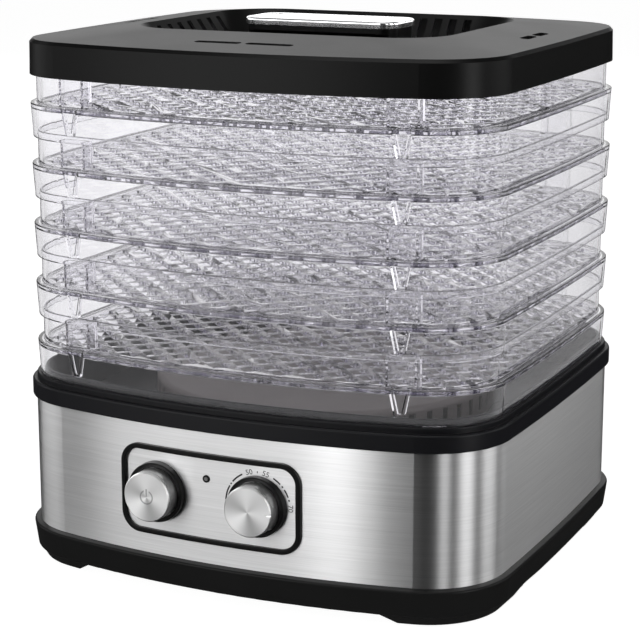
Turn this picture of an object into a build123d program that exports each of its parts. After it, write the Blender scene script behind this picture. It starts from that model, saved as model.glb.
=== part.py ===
# Square counter-top food dehydrator: a steel-wrapped base with a fan and a heater, a stack of
# clear trays with lattice floors, and a vented lid with a finger recess and a bridge handle.
# Units are millimetres. +Z is up, the control panel faces -Y, and the origin is the middle of
# the plane that the feet stand on.
import math
import os

from build123d import *

# ---- overall plan: a square with bowed sides and round corners ----
half_width = 140.0  # to the middle of the right side
half_depth = 135.7  # to the middle of the front
corner_radius = 43.0
side_bow = 1.5  # how far the left and right sides bulge
front_bow = 10.2  # how far the front and back bulge

# ---- heights ----
foot_pad_drop = 1.0  # rubber pads stand out below the moulded feet
arch_height = 6.0  # underside of the pan between the feet
skirt_top = 21.8  # top edge of the black skirt round the base
band_top = 95.0  # where the steel band goes under the deck ring
stack_base = 108.0  # where the lowest tray stands
tray_count = 5
tray_pitch = 33.2
lid_band_height = 19.0
lid_rise = 5.2  # from the lid's crease to the edge of its finger recess

# ---- base housing ----
pan_wall = 2.0
pan_floor = 2.5
band_thickness = 0.6
band_offset = 1.45  # outer face of the steel band, outside the plan
band_tuck = 2.0  # hidden edge of the band, top and bottom
skirt_offset_top = 5.2
skirt_offset_bottom = 3.2
foot_offset = -1.0
foot_slope = 10.0
foot_length_x = 42.0  # from the side of the plan to the gap between two feet
foot_length_y = 71.7
pad_radius = 7.0
pad_inset = 13.3  # from the edge of the foot to the pad
pad_angle = 40.0
pad_thickness = 3.0
grille_slots = 11
grille_slot_width = 4.0
grille_pitch = 8.5
grille_radius = 50.0
boss_radius = 4.2
boss_inset_x = 39.0
boss_inset_y = 47.7
boss_split = 55.0
screw_radius = 1.7
screw_head_radius = 3.4
screw_head_height = 2.4
running_gap = 0.1  # between pieces that are assembled by hand

# ---- deck ----
ring_offset = 3.7
ring_step_offset = 1.0
ring_step_drop = 3.3
lip_height = 3.6
deck_wall = 2.0
deck_depth = 26.0  # from the stack's base down to the underside of the deck floor
deck_floor = 2.0
air_hole_radius = 57.0

# ---- air diffuser: a round steel cover over the heater ----
diffuser_radius = 100.0
diffuser_top = 100.0
diffuser_wall = 1.0
diffuser_slots = 56
diffuser_slot_width = 4.0
diffuser_slot_height = 9.0
diffuser_edge_round = 3.0

# ---- fan, motor and heater ----
fan_radius = 50.0
fan_blades = 5
fan_pitch = 28.0
fan_chord = 21.0
fan_blade_thickness = 1.4
fan_hub_radius = 11.0
fan_hub_height = 12.0
fan_top = 79.0
shaft_radius = 2.0
shaft_tail = 6.0
shaft_bore_gap = 0.05
motor_top = 58.0
motor_stack = 18.0
motor_width = 52.0
motor_depth = 42.0
motor_front = 16.0  # from the shaft to the front of the core
motor_bar = 6.0  # the bar of the core that the winding goes round
winding_half = 13.0
winding_wrap = 6.0
rotor_radius = 10.0
rotor_gap = 0.5
bearing_plate = 2.0
bearing_width = 18.0
bracket_width = 16.0
bracket_thickness = 2.0
bracket_reach = 8.0  # past the air hole
heater_radius = 72.0
heater_spacing = 12.0  # between the two rings
heater_wire = 2.6
heater_link = 3.0
heater_board = 1.6
heater_board_margin = 14.0  # past the outer ring
heater_height = 88.0
cutout_radius = 8.0
cutout_height = 12.0
cutout_inset = 19.0  # from the air hole to the middle of the cut-out
terminal_size = 16.0
terminal_pitch = 12.0
terminal_hole = 3.0
terminal_inset = 31.7

# ---- control panel on the front ----
panel_x = -8.0
panel_z = 58.3
panel_width = 108.0
panel_height = 50.0
panel_corner = 11.5
panel_bezel = 2.8
panel_bezel_depth = 2.4
panel_plate_depth = 0.6
knob_spacing = 60.0
knob_radius = 13.7
knob_stand = 13.9  # from the front of the plan to a knob's face
knob_length = 9.3
knob_edge = 0.6
knob_groove_depth = 0.35
knob_groove_width = 0.6
knob_groove_back = 1.6
pointer_length = 3.2
pointer_width = 1.2
pointer_depth = 0.6
collar_gap = 0.5  # round a knob
collar_wall = 2.3
collar_stand = 5.3
collar_round = 0.6
stem_radius = 3.0
stem_gap = 0.4
stem_seat = 6.0  # how far a stem goes into its cap
switch_setback = 6.0  # from the inside of the front wall to the switch bodies
switch_bore = 12.0
switch_width = 24.0
switch_height = 18.0
switch_depth = 26.0
neck_wall = 4.0
thermostat_radius = 15.0
thermostat_depth = 16.0
panel_centre_shift = 0.6  # knobs and lamp stand this far left of the panel's middle
lamp_radius = 1.1
lamp_bezel_radius = 2.0
lamp_rise = 11.0
lamp_stand = 0.9  # how far the lens stands out of the panel
lamp_bezel_stand = 0.5
lamp_depth = 12.0
lamp_round = 0.5

# ---- mains entry at the back ----
cord_x = 70.0
cord_z = 32.0
cord_radius = 3.5
gland_flange_radius = 9.0
gland_body_radius = 6.0
gland_flange = 3.0  # thickness outside the wall
gland_tail = 8.0  # reach inside the wall
gland_reach = 13.9  # from the back of the plan to the gland's end
gland_tip_radius = 5.2
gland_root_radius = 6.5

# ---- trays: offsets are measured from the plan, heights from the bottom of the skirt ----
skirt_height = 18.8
skirt_draft = 1.1
skirt_wall = 1.8
rim_offset = -3.5
rim_wall = 1.8
rim_nest = 4.0  # how far a rim enters the skirt above it
floor_thickness = 2.6
stack_gap = 0.1
leg_inset = 44.5  # from the side of the plan to the middle of a leg
leg_top_width = 9.6
leg_tip_width = 5.0
leg_wall = 1.5
leg_web = 0.3  # how far the leg's front wall stands in from the skirt's inside
leg_merge = 0.4  # overlap that joins a leg to the skirt and the ledge
tower_width = 17.0
tower_depth = 7.0
tower_wall = 1.7
tower_drop = 3.0
tower_gap = 0.3  # from the floor up to the open foot of a tower
tower_merge = 0.5
panel_gap = 0.05
lattice_pitch = 13.0
lattice_hole = 8.6
lattice_border = 5.0
lattice_least = 12.0  # area of the smallest part hole that is worth moulding

# ---- lid ----
lid_wall = 2.2
lid_draft = 0.4
lid_bevel = 1.6
lid_border_x = 48.0  # from the side of the plan to the edge of the recess
lid_border_y = 60.2
recess_corner = 31.0
recess_slope = 15.0  # how far the recess walls lean in on the way down
recess_floor_height = 3.4  # above the lid's lower edge
louvre_width = 4.8
louvre_pitch_x = 9.2
louvre_pitch_y = 12.0
louvre_count_x = 13
louvre_count_y = 7
front_vent_length = 27.0
front_vent_inset = 28.7
side_vent_length = 17.0
side_vent_inset = 19.0
vent_width = 5.2
vent_gap = 2.8
lid_stop_width = 6.0
lid_seat_gap = 1.0  # between the lid's lower edge and the top tray's ledge
handle_length = 94.0
handle_depth = 38.0
handle_corner = 10.5
handle_cap_thickness = 3.8
handle_cap_top = 7.9  # above the lid's crease
handle_dish = 0.35
handle_dish_margin = 5.0
handle_round = 1.4
handle_waist = 20.0
handle_flare = 3.0  # at the foot, each side
handle_shoulder = 7.0  # height over which the waist widens to the cap
handle_inset = 1.2  # of the body under the edge of the cap
lid_screw_x = 30.0
lid_screw_length = 12.0  # into the handle

# ---- levels that follow from the sizes above ----
rim_height = tray_pitch + rim_nest
lid_bottom = stack_base + tray_count * tray_pitch + lid_seat_gap
lid_crease = lid_bottom + lid_band_height
recess_edge = lid_crease + lid_rise
deck_bottom = stack_base - deck_depth
deck_top = deck_bottom + deck_floor
pan_offset = band_offset - band_thickness - running_gap  # outer face of the pan's wall
pan_inner = pan_offset - pan_wall
lip_inner = rim_offset - deck_wall
rim_inner = rim_offset - rim_wall
lamp_x = panel_x - panel_centre_shift
knob_left_x = lamp_x - knob_spacing / 2
knob_right_x = knob_left_x + knob_spacing
knob_face_y = -(half_depth + knob_stand)
knob_back_y = knob_face_y + knob_length
collar_radius = knob_radius + collar_gap + collar_wall
collar_front_y = -(half_depth + collar_stand)
gland_end_y = half_depth + gland_reach
foot_inner_x = half_width - foot_length_x
foot_inner_y = half_depth - foot_length_y
boss_x = half_width - boss_inset_x
boss_y = half_depth - boss_inset_y
leg_x = half_width - leg_inset
recess_half_x = half_width - lid_border_x
recess_half_y = half_depth - lid_border_y
panel_front_y = -(half_depth + 20)  # well in front of everything on the panel
panel_back_y = -(half_depth - front_bow - 20)  # well behind the front wall
switch_front_y = -(half_depth + pan_inner - switch_setback)


# ---- the plan outline ----
def plan_arcs():
    """The eight arcs of the plan: centre x, centre y, radius at offset 0, start and end angle."""
    core_x = half_width - corner_radius - side_bow
    core_y = half_depth - corner_radius - front_bow
    front_r = (core_x**2 + front_bow**2) / (2 * front_bow)
    side_r = (core_y**2 + side_bow**2) / (2 * side_bow)
    front_half = math.degrees(math.asin(core_x / front_r))
    side_half = math.degrees(math.asin(core_y / side_r))
    front_y = -(core_y + front_bow) + front_r
    side_x = core_x + side_bow - side_r
    arcs = []
    for turn, (cx, cy, r, half) in enumerate(
        [
            (0, front_y, front_r, front_half),
            (side_x, 0, side_r, side_half),
            (0, -front_y, front_r, front_half),
            (-side_x, 0, side_r, side_half),
        ]
    ):
        middle = -90 + 90 * turn
        arcs.append((cx, cy, r + corner_radius, middle - half, middle + half))
        next_half = side_half if turn % 2 == 0 else front_half
        corner_x = core_x if turn in (0, 1) else -core_x
        corner_y = -core_y if turn in (0, 3) else core_y
        arcs.append(
            (corner_x, corner_y, corner_radius, middle + half, middle + 90 - next_half)
        )
    return arcs


def on_circle(cx, cy, r, angle):
    return (cx + r * math.cos(math.radians(angle)), cy + r * math.sin(math.radians(angle)))


def plan_wire(offset, z=0.0):
    edges = []
    for cx, cy, r, start, end in plan_arcs():
        points = [
            (*on_circle(cx, cy, r + offset, angle), z)
            for angle in (start, (start + end) / 2, end)
        ]
        edges.append(ThreePointArc(*points))
    return Wire(edges)


def plan_prism(offset, z0, z1):
    return Solid.extrude(Face(plan_wire(offset, z0)), Vector(0, 0, z1 - z0))


def plan_taper(offset0, z0, offset1, z1):
    return Solid.make_loft([plan_wire(offset0, z0), plan_wire(offset1, z1)], ruled=True)


def section(points):
    """A closed section in the XZ plane from (offset, z) or (offset, z, radius) corners."""
    count = len(points)
    joints = []
    for i, point in enumerate(points):
        here = Vector(point[0], 0, point[1])
        before = Vector(points[i - 1][0], 0, points[i - 1][1])
        after = Vector(points[(i + 1) % count][0], 0, points[(i + 1) % count][1])
        radius = point[2] if len(point) > 2 else 0
        if radius == 0:
            joints.append((here, here, here))
            continue
        to_before = (before - here).normalized()
        to_after = (after - here).normalized()
        half_angle = math.radians(to_before.get_angle(to_after)) / 2
        reach = radius / math.tan(half_angle)
        towards = (to_before + to_after).normalized()
        middle = here + towards * (radius / math.sin(half_angle) - radius)
        joints.append((here + to_before * reach, middle, here + to_after * reach))
    edges = []
    for i, (start, middle, end) in enumerate(joints):
        if (end - start).length > 1e-6:
            edges.append(ThreePointArc(start, middle, end))
        edges.append(Line(end, joints[(i + 1) % count][0]))
    return Face(Wire(edges))


def plan_ring(points):
    """A section carried all the way round the plan."""
    face = section(points)
    pieces = []
    for cx, cy, r, start, end in plan_arcs():
        placed = Pos(cx, cy, 0) * Rot(0, 0, start) * Pos(r, 0, 0) * face
        pieces.append(revolve(placed, axis=Axis((cx, cy, 0), (0, 0, 1)), revolution_arc=end - start))
    ring = pieces[0].solid()
    return ring.fuse(*[piece.solid() for piece in pieces[1:]]).solid()


# ---- small shapes used all over ----
def rounded_prism(size_x, size_y, radius, z0, z1):
    return Pos(0, 0, z0) * extrude(RectangleRounded(size_x, size_y, radius), z1 - z0)


def rod(radius, z0, z1, x=0.0, y=0.0):
    return Pos(x, y, (z0 + z1) / 2) * Cylinder(radius, z1 - z0)


def rod_y(radius, y0, y1, x, z):
    return Pos(x, (y0 + y1) / 2, z) * Rot(90, 0, 0) * Cylinder(radius, abs(y1 - y0))


def block(x0, x1, y0, y1, z0, z1):
    size = (x1 - x0, y1 - y0, z1 - z0)
    return Pos((x0 + x1) / 2, (y0 + y1) / 2, (z0 + z1) / 2) * Box(*size)


def four_corners(x, y):
    return [(sx * x, sy * y) for sx in (-1, 1) for sy in (-1, 1)]


def front_prism(size_x, size_z, radius):
    """A rounded rectangle facing the front, at the panel's place."""
    face = Plane(origin=(panel_x, panel_back_y, panel_z), x_dir=(1, 0, 0), z_dir=(0, -1, 0))
    return extrude(face * RectangleRounded(size_x, size_z, radius), panel_back_y - panel_front_y)


def only(shape):
    """The single solid of a shape, or all of its solids as one compound."""
    solids = shape.solids()
    return solids[0] if len(solids) == 1 else Compound(children=list(solids))


# ---- base housing ----
def base_pan():
    wall = plan_ring(
        [
            (pan_inner, arch_height),
            (skirt_offset_bottom, arch_height, 1.5),
            (skirt_offset_top, skirt_top - 1.0, 1.2),
            (band_offset + running_gap, skirt_top),
            (band_offset + running_gap, skirt_top - band_tuck),
            (pan_offset, skirt_top - band_tuck),
            (pan_offset, band_top + band_tuck),
            (pan_inner, band_top + band_tuck),
        ]
    )
    pan = wall + plan_prism(pan_inner + 0.5, arch_height, arch_height + pan_floor)
    feet = plan_taper(foot_offset, foot_pad_drop, skirt_offset_bottom, arch_height + 2.0)
    for axis_x in (True, False):
        feet -= foot_trough(axis_x)
    feet -= plan_prism(pan_inner, arch_height + 1.0, arch_height + 3.0)
    pan += feet
    for x, y in four_corners(boss_x, boss_y):
        pan += rod(boss_radius, arch_height, boss_split, x, y)
    for x, y in four_corners(boss_x, boss_y):
        pan -= rod(screw_radius + running_gap, foot_pad_drop, boss_split, x, y)
        pan -= rod(screw_head_radius + 0.3, 0, arch_height + 1.0, x, y)
    for x, y in four_corners(*pad_place()):
        pan -= rod(pad_radius, 0, pad_thickness, x, y)
    pan -= intake_grille()
    pan -= panel_openings()
    pan -= rod_y(gland_body_radius, half_depth - 12, half_depth + 12, cord_x, cord_z)
    return only(pan)


def foot_trough(along_y):
    """The gap between two feet, which narrows upwards."""
    half = foot_inner_x if along_y else foot_inner_y
    low = 0.0
    points = [
        (-half, low),
        (half, low),
        (half - foot_slope, arch_height + 1e-3),
        (-half + foot_slope, arch_height + 1e-3),
    ]
    reach = half_width + corner_radius
    if along_y:
        face = Plane(origin=(0, reach, 0), x_dir=(1, 0, 0), z_dir=(0, -1, 0)) * make_face(
            Polyline(*points, close=True)
        )
    else:
        face = Plane(origin=(-reach, 0, 0), x_dir=(0, 1, 0), z_dir=(1, 0, 0)) * make_face(
            Polyline(*points, close=True)
        )
    return extrude(face, 2 * reach)


def pad_place():
    arcs = plan_arcs()
    reach = corner_radius + foot_offset - pad_radius - pad_inset
    return on_circle(arcs[1][0], -arcs[1][1], reach, pad_angle)


def intake_grille():
    slots = []
    for i in range(grille_slots):
        y = (i - (grille_slots - 1) / 2) * grille_pitch
        half = math.sqrt(grille_radius**2 - y**2)
        slot = SlotOverall(2 * half, grille_slot_width)
        slots.append(Pos(0, y, arch_height - 1) * extrude(slot, pan_floor + 2))
    return slots


def panel_openings():
    """Holes through the front wall for the two stems and the lamp."""
    stem_hole, lamp_hole = stem_radius + stem_gap, lamp_radius + running_gap
    holes = [
        rod_y(stem_hole, panel_front_y, panel_back_y, x, panel_z)
        for x in (knob_left_x, knob_right_x)
    ]
    holes.append(rod_y(lamp_hole, panel_front_y, panel_back_y, lamp_x, panel_z + lamp_rise))
    return holes


def rubber_feet():
    pads = []
    for x, y in four_corners(*pad_place()):
        pad = rod(pad_radius - running_gap, 0, pad_thickness - running_gap, x, y)
        pads.append(chamfer(pad.faces().sort_by(Axis.Z)[0].edges(), 0.6))
    return Compound(children=[pad.solid() for pad in pads])


def steel_band():
    bottom = skirt_top - band_tuck + running_gap
    top = band_top + band_tuck
    band = plan_ring(
        [
            (band_offset - band_thickness, bottom),
            (band_offset, bottom),
            (band_offset, top),
            (band_offset - band_thickness, top),
        ]
    )
    band -= panel_openings()
    band -= rod_y(gland_body_radius, half_depth - 12, half_depth + 12, cord_x, cord_z)
    return only(band)


def base_screws():
    screws = []
    for x, y in four_corners(boss_x, boss_y):
        head_bottom = arch_height + 1.0 - screw_head_height
        screw = rod(screw_head_radius, head_bottom, arch_height + 1.0, x, y)
        screw += rod(screw_radius, arch_height + 0.9, boss_split + 16, x, y)
        slot = block(x - 2, x + 2, y - 0.5, y + 0.5, head_bottom, head_bottom + 1.2)
        screw -= [slot, Pos(x, y, 0) * Rot(0, 0, 90) * Pos(-x, -y, 0) * slot]
        screws.append(screw.solid())
    return Compound(children=screws)


# ---- deck ----
def deck():
    top = stack_base
    ring = plan_ring(
        [
            (band_offset + running_gap, band_top),
            (ring_offset, band_top, 0.8),
            (ring_offset, top - ring_step_drop, 1.4),
            (ring_step_offset, top - ring_step_drop, 0.3),
            (ring_step_offset, top, 0.9),
            (rim_offset, top),
            (rim_offset, top + lip_height, 0.6),
            (lip_inner, top + lip_height, 0.6),
            (lip_inner, deck_bottom),
            (rim_offset, deck_bottom),
            (rim_offset, band_top + band_tuck + running_gap),
            (band_offset + running_gap, band_top + band_tuck + running_gap),
        ]
    )
    body = ring + plan_prism(lip_inner + 0.5, deck_bottom, deck_top)
    for x, y in four_corners(boss_x, boss_y):
        body += rod(boss_radius, boss_split + running_gap, deck_bottom + 0.5, x, y)
    body -= rod(air_hole_radius, deck_bottom - 1, deck_top + 1)
    for x, y in four_corners(boss_x, boss_y):
        body -= rod(screw_radius + running_gap, boss_split - 1, boss_split + 17, x, y)
    return only(body)


def diffuser():
    outer = rod(diffuser_radius, deck_top, diffuser_top)
    outer = fillet(outer.faces().sort_by(Axis.Z)[-1].edges(), diffuser_edge_round)
    inner = rod(diffuser_radius - diffuser_wall, deck_top, diffuser_top - diffuser_wall)
    inner = fillet(
        inner.faces().sort_by(Axis.Z)[-1].edges(), diffuser_edge_round - diffuser_wall
    )
    cover = outer - inner
    z0 = diffuser_top - diffuser_edge_round - 1.0 - diffuser_slot_height
    half = diffuser_slot_width / 2
    slot = block(diffuser_radius - 4, diffuser_radius + 4, -half, half, z0, z0 + diffuser_slot_height)
    step = 360 / diffuser_slots
    cover -= [Rot(0, 0, i * step) * slot for i in range(diffuser_slots)]
    return only(cover)


# ---- fan, motor and heater ----
def fan_impeller():
    z0 = fan_top - fan_hub_height
    hub = rod(fan_hub_radius, z0, fan_top)
    hub = fillet(hub.faces().sort_by(Axis.Z)[-1].edges(), 2.0)
    blade_length = fan_radius - fan_hub_radius + 2
    blade_place = Pos(fan_hub_radius + blade_length / 2 - 2, 0, z0 + fan_hub_height / 2)
    blade = blade_place * Rot(fan_pitch, 0, 0) * Box(blade_length, fan_chord, fan_blade_thickness)
    blade &= rod(fan_radius, z0 - 10, fan_top + 10)
    fan = hub
    for i in range(fan_blades):
        fan += Rot(0, 0, 360 / fan_blades * i) * blade
    fan -= rod(shaft_radius, z0 - 1, fan_top - 2)
    return only(fan)


def motor_shaft():
    low = motor_top - motor_stack - bearing_plate - shaft_tail
    shaft = rod(shaft_radius, low, fan_top - 2)
    rotor = rod(rotor_radius, motor_top - motor_stack, motor_top)
    return only(shaft + rotor)


def motor_core():
    z0 = motor_top - motor_stack
    half, front = motor_width / 2, -motor_front
    core = block(-half, half, front, front + motor_depth, z0, motor_top)
    core -= rod(rotor_radius + rotor_gap, z0 - 1, motor_top + 1)
    window, bar = winding_half + 1, motor_depth - motor_front - motor_bar
    core -= block(-window, window, motor_front - 2, bar, z0 - 1, motor_top + 1)
    return only(core)


def motor_winding():
    z0 = motor_top - motor_stack
    half, wrap, gap = winding_half, winding_wrap, running_gap
    bar1 = motor_depth - motor_front
    bar0 = bar1 - motor_bar
    winding = block(-half, half, motor_front - 1.5, bar1 + wrap, z0 - wrap, motor_top + wrap)
    winding -= block(-half - 1, half + 1, bar0 - gap, bar1 + gap, z0 - gap, motor_top + gap)
    return only(winding)


def motor_bearing(z0):
    plate = rounded_prism(motor_width - 2, bearing_width, 4, z0, z0 + bearing_plate)
    return only(plate - rod(shaft_radius + shaft_bore_gap, z0 - 1, z0 + bearing_plate + 1))


def motor_bracket():
    """A strap across the air hole that carries the motor's upper plate on two drop legs."""
    z0 = motor_top + bearing_plate
    reach, half = air_hole_radius + bracket_reach, bracket_width / 2
    strap = block(-reach, reach, -half, half, z0, z0 + bracket_thickness)
    strap -= rod(shaft_radius + 3, z0 - 1, z0 + bracket_thickness + 1)
    for side in (-1, 1):
        x0, x1 = sorted((side * (reach - bracket_thickness), side * reach))
        strap += block(x0, x1, -half, half, z0, deck_bottom)
    return only(strap)


def heater_coil():
    inner_radius, half = heater_radius - heater_spacing, heater_link / 2
    ring = Pos(0, 0, heater_height) * Torus(heater_radius, heater_wire)
    inner = Pos(0, 0, heater_height) * Torus(inner_radius, heater_wire)
    link_low, link_high = heater_height - half, heater_height + half
    link = block(inner_radius, heater_radius, -half, half, link_low, link_high)
    return only(ring + inner + link)


def heater_frame():
    """Crossed mica boards that hold the heating rings above the air hole."""
    top = heater_height + heater_wire + 2
    reach, half = heater_radius + heater_board_margin, heater_board / 2
    boards = block(-reach, reach, -half, half, deck_top, top)
    boards += block(-half, half, -reach, reach, deck_top, top)
    gap = heater_wire + running_gap
    low, high = heater_height - gap, heater_height + gap
    inner_radius = heater_radius - heater_spacing
    for radius in (heater_radius, inner_radius):
        hole = rod_y(gap, -heater_board, heater_board, radius, heater_height)
        boards -= [Rot(0, 0, 90 * turn) * hole for turn in range(4)]
    boards -= block(inner_radius, heater_radius, -heater_board, heater_board, low, high)
    hub = fan_hub_radius + 3
    boards -= block(-hub, hub, -hub, hub, deck_top, heater_height - 2)
    return only(boards)


def thermal_cutout():
    x, low = -(air_hole_radius + cutout_inset), deck_bottom - cutout_height
    body = rod(cutout_radius, low, deck_bottom, x, 0)
    return only(body + block(x - 4, x + 4, -2, 2, low - 4, low))


def terminal_block():
    low, back = arch_height + pan_floor, half_depth - terminal_inset
    top, middle = low + terminal_size, back - terminal_size / 2
    length = 3 * terminal_pitch + 4
    start = cord_x - 10 - length
    body = block(start, start + length, back - terminal_size, back, low, top)
    for i in range(3):
        x = start + terminal_pitch * (i + 0.5) + 2
        body -= rod(terminal_hole, top - 6, top + 1, x, middle)
    return only(body)


# ---- control panel ----
def front_slab(offset0, offset1):
    """The layer between two offsets of the plan, over the height of the panel."""
    z0, z1 = panel_z - panel_height, panel_z + panel_height
    return plan_prism(offset1, z0, z1) - plan_prism(offset0, z0 - 1, z1 + 1)


def panel_bezel_frame():
    ring = front_prism(panel_width, panel_height, panel_corner)
    ring -= front_prism(
        panel_width - 2 * panel_bezel, panel_height - 2 * panel_bezel, panel_corner - panel_bezel
    )
    frame = front_slab(band_offset, band_offset + panel_bezel_depth) & ring
    foremost = sorted(frame.faces(), key=lambda f: f.center().Y)[0]
    return only(fillet(foremost.edges(), 0.7))


def panel_plate():
    inset = panel_bezel + running_gap
    plate = front_prism(panel_width - 2 * inset, panel_height - 2 * inset, panel_corner - inset)
    plate = front_slab(band_offset, band_offset + panel_plate_depth) & plate
    for x in (knob_left_x, knob_right_x):
        plate -= rod_y(collar_radius + running_gap, panel_front_y, panel_back_y, x, panel_z)
    lamp_hole = lamp_bezel_radius + running_gap
    plate -= rod_y(lamp_hole, panel_front_y, panel_back_y, lamp_x, panel_z + lamp_rise)
    return only(plate)


def knob_collar(x):
    collar = rod_y(collar_radius, collar_front_y, panel_back_y, x, panel_z)
    collar -= rod_y(collar_radius - collar_wall, panel_front_y, panel_back_y + 1, x, panel_z)
    collar -= plan_prism(band_offset, panel_z - panel_height, panel_z + panel_height)
    rim = [e for e in collar.edges() if abs(e.center().Y - collar_front_y) < 1e-3]
    return only(fillet(rim, collar_round))


def knob_cap(x):
    cap = rod_y(knob_radius, knob_face_y, knob_back_y, x, panel_z)
    cap = chamfer(cap.faces().sort_by(Axis.Y)[0].edges(), knob_edge)
    groove_y = knob_face_y + knob_groove_back
    groove = rod_y(knob_radius + 1, groove_y, groove_y + knob_groove_width, x, panel_z)
    groove -= rod_y(
        knob_radius - knob_groove_depth, groove_y - 1, groove_y + 2, x, panel_z
    )
    cap -= groove
    cap -= rod_y(stem_radius, knob_back_y - stem_seat, knob_back_y + 1, x, panel_z)
    return only(cap)


def dial_cap(x):
    """The thermostat's knob: a cap with a pointer notch that faces the top of the scale."""
    tip, half = knob_radius + 1, pointer_width / 2
    notch = block(
        x + knob_radius - pointer_length,
        x + tip,
        knob_face_y - 1,
        knob_face_y + pointer_depth,
        panel_z - half,
        panel_z + half,
    )
    return only(knob_cap(x) - notch)


def stem(x, reach):
    """A round stem from inside its cap to some way into its switch body."""
    end = switch_front_y + reach
    return only(rod_y(stem_radius - 0.01, knob_back_y - stem_seat, end, x, panel_z))


def switch_neck(x):
    """The neck that holds a switch body against the inside of the front wall."""
    neck = rod_y(stem_radius + neck_wall, -half_depth, switch_front_y + 0.5, x, panel_z)
    return neck & plan_prism(pan_inner, panel_z - panel_height, panel_z + panel_height)


def push_switch():
    x, y0 = knob_left_x, switch_front_y
    half, high = switch_width / 2, switch_height / 2
    body = block(x - half, x + half, y0, y0 + switch_depth, panel_z - high, panel_z + high)
    body += switch_neck(x)
    return only(body - rod_y(stem_radius + stem_gap, -half_depth, y0 + switch_bore, x, panel_z))


def thermostat():
    x, y0 = knob_right_x, switch_front_y
    back = y0 + thermostat_depth
    body = rod_y(thermostat_radius, y0, back, x, panel_z) + switch_neck(x)
    body += block(x - 5, x + 5, back, back + 6, panel_z - 10, panel_z + 10)
    bore = stem_radius + shaft_bore_gap
    return only(body - rod_y(bore, -half_depth, y0 + switch_bore, x, panel_z))


def lamp_lens():
    y0 = -(half_depth + band_offset + panel_plate_depth)
    x, z = lamp_x, panel_z + lamp_rise
    lens = rod_y(lamp_radius, y0 - lamp_stand, -(half_depth - lamp_depth), x, z)
    return only(fillet(lens.faces().sort_by(Axis.Y)[0].edges(), lamp_round))


def lamp_bezel():
    y0 = -(half_depth + band_offset + panel_plate_depth)
    x, z = lamp_x, panel_z + lamp_rise
    bezel = rod_y(lamp_bezel_radius, y0 - lamp_bezel_stand, panel_back_y, x, z)
    bezel -= rod_y(lamp_radius + running_gap, panel_front_y, panel_back_y + 1, x, z)
    bezel -= plan_prism(band_offset, panel_z - panel_height, panel_z + panel_height)
    return only(bezel)


def cord_gland():
    wall_y = back_wall_y(cord_x, band_offset)
    flange = rod_y(gland_flange_radius, wall_y - 4, wall_y + gland_flange, cord_x, cord_z)
    flange -= plan_prism(band_offset, 0, cord_z + gland_flange_radius + 1)
    tail_y = wall_y - gland_tail
    body = rod_y(gland_body_radius - running_gap, tail_y, wall_y + 1, cord_x, cord_z)
    root_y = wall_y + gland_flange - 1
    length = gland_end_y - root_y
    cone = Cone(gland_root_radius, gland_tip_radius, length)
    snout = Pos(cord_x, root_y + length / 2, cord_z) * Rot(-90, 0, 0) * cone
    gland = flange + body + snout
    gland -= rod_y(cord_radius, tail_y - 1, gland_end_y + 1, cord_x, cord_z)
    return only(gland)


def back_wall_y(x, offset):
    cx, cy, r, _, _ = plan_arcs()[4]
    return cy + math.sqrt((r + offset) ** 2 - (x - cx) ** 2)


# ---- trays ----
def tray_frame(z0):
    drop = skirt_height - floor_thickness
    inner_low = -skirt_draft - skirt_wall
    inner_high = -skirt_draft * (1 - drop / skirt_height) - skirt_wall
    frame = plan_ring(
        [
            (-skirt_draft, z0, 0.5),
            (0, z0 + skirt_height, 0.8),
            (rim_offset, z0 + skirt_height, 0.4),
            (rim_offset, z0 + rim_height, 0.5),
            (rim_inner, z0 + rim_height, 0.5),
            (rim_inner, z0 + drop),
            (inner_high, z0 + drop, 0.4),
            (inner_low, z0, 0.5),
        ]
    )
    for turn in (0, 180):
        for side in (-1, 1):
            for piece in tray_support(side * leg_x, z0):
                frame += Rot(0, 0, turn) * piece
    return only(frame)


def tray_support(x, z0):
    """A hollow tapered leg under the ledge, and the hollow tower above it, at the front."""
    front_y = -back_wall_y(x, 0)
    tip = z0 + rim_height - tray_pitch + stack_gap
    root = z0 + skirt_height - floor_thickness
    leg = leg_prism(x, tip, root + leg_merge, 0.0, front_y)
    leg &= plan_prism(-skirt_draft - leg_merge, tip - 1, root + 1)
    leg -= plan_prism(rim_inner, tip - 2, root + 2)
    hollow = leg_prism(x, tip + leg_wall, root, leg_wall, front_y)
    hollow &= plan_prism(-skirt_draft - skirt_wall - leg_web, tip, root + 1)
    leg -= hollow
    bottom, top = z0 + skirt_height + tower_gap, z0 + rim_height - tower_drop
    half = tower_width / 2
    inner_y = front_y - rim_inner + tower_depth
    tower = block(x - half, x + half, front_y, inner_y, bottom, top)
    tower &= plan_prism(rim_inner + tower_merge, bottom - 1, top + 1)
    half -= tower_wall
    shaft = block(x - half, x + half, front_y, inner_y - tower_wall, bottom - 1, top + 1)
    return leg, tower - (shaft & plan_prism(rim_inner, bottom - 2, top + 2))


def leg_prism(x, z0, z1, shrink, front_y):
    """A leg's tapered outline in front view, carried through the skirt."""
    low, high = leg_tip_width / 2 - shrink, leg_top_width / 2 - shrink
    points = [(x - high, z1), (x + high, z1), (x + low, z0), (x - low, z0)]
    reach = corner_radius / 2
    plane = Plane(origin=(0, front_y + reach, 0), x_dir=(1, 0, 0), z_dir=(0, -1, 0))
    return extrude(plane * make_face(Polyline(*points, close=True)), 2 * reach)


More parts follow.
